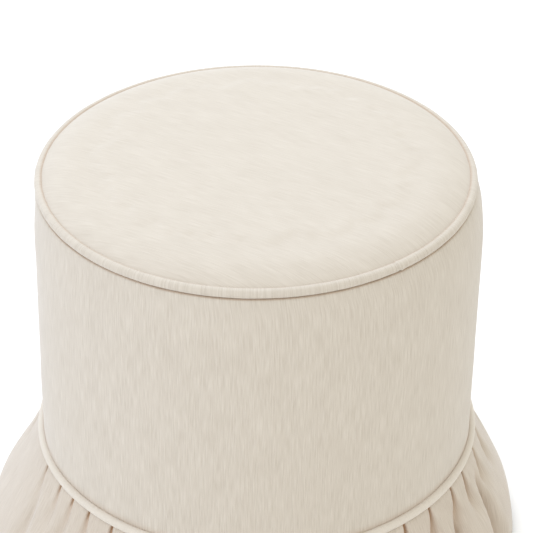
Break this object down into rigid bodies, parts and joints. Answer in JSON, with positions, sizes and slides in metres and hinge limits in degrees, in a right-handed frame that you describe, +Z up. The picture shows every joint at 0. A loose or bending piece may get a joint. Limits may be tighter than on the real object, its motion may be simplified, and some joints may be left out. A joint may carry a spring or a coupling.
{
  "type": "skirted pouf",
  "caption": "Round upholstered pouf with a crowned seat, corded seams, a plain padded side and a gathered skirt that hides short block feet.",
  "frame": {"origin": "middle of the footprint, on the floor", "axes": "+Z up along the drum's axis; -Y is the side seen in the picture, +X its right"},
  "size_m": [0.5194, 0.5196, 0.432],
  "materials": {
    "velvet": "cream chenille velvet with fine upright ribs",
    "foam": "open-cell polyurethane foam",
    "plywood": "raw birch plywood",
    "softwood": "planed pine",
    "hardboard": "smooth brown hardboard",
    "card": "pressed grey-brown card",
    "nonwoven": "black spunbond non-woven sheet",
    "foot_wood": "dark stained hardwood",
    "zinc_steel": "zinc-plated steel"
  },
  "bodies": {
    "root": {"base_board": "plywood", "top_board": "plywood", "frame_post_1": "softwood", "frame_post_2": "softwood", "frame_post_3": "softwood", "frame_post_4": "softwood", "frame_screws": "zinc_steel", "side_panel": "hardboard", "side_foam": "foam", "seat_foam": "foam", "seat_cover": "velvet", "top_piping": "velvet", "side_cover": "velvet", "lower_piping": "velvet", "skirt_strip_1": "velvet", "skirt_strip_2": "velvet", "tack_strip": "card", "dust_cover": "nonwoven", "foot_1": "foot_wood", "foot_2": "foot_wood", "foot_3": "foot_wood", "foot_4": "foot_wood", "foot_screws": "zinc_steel"}
  },
  "joints": []
}
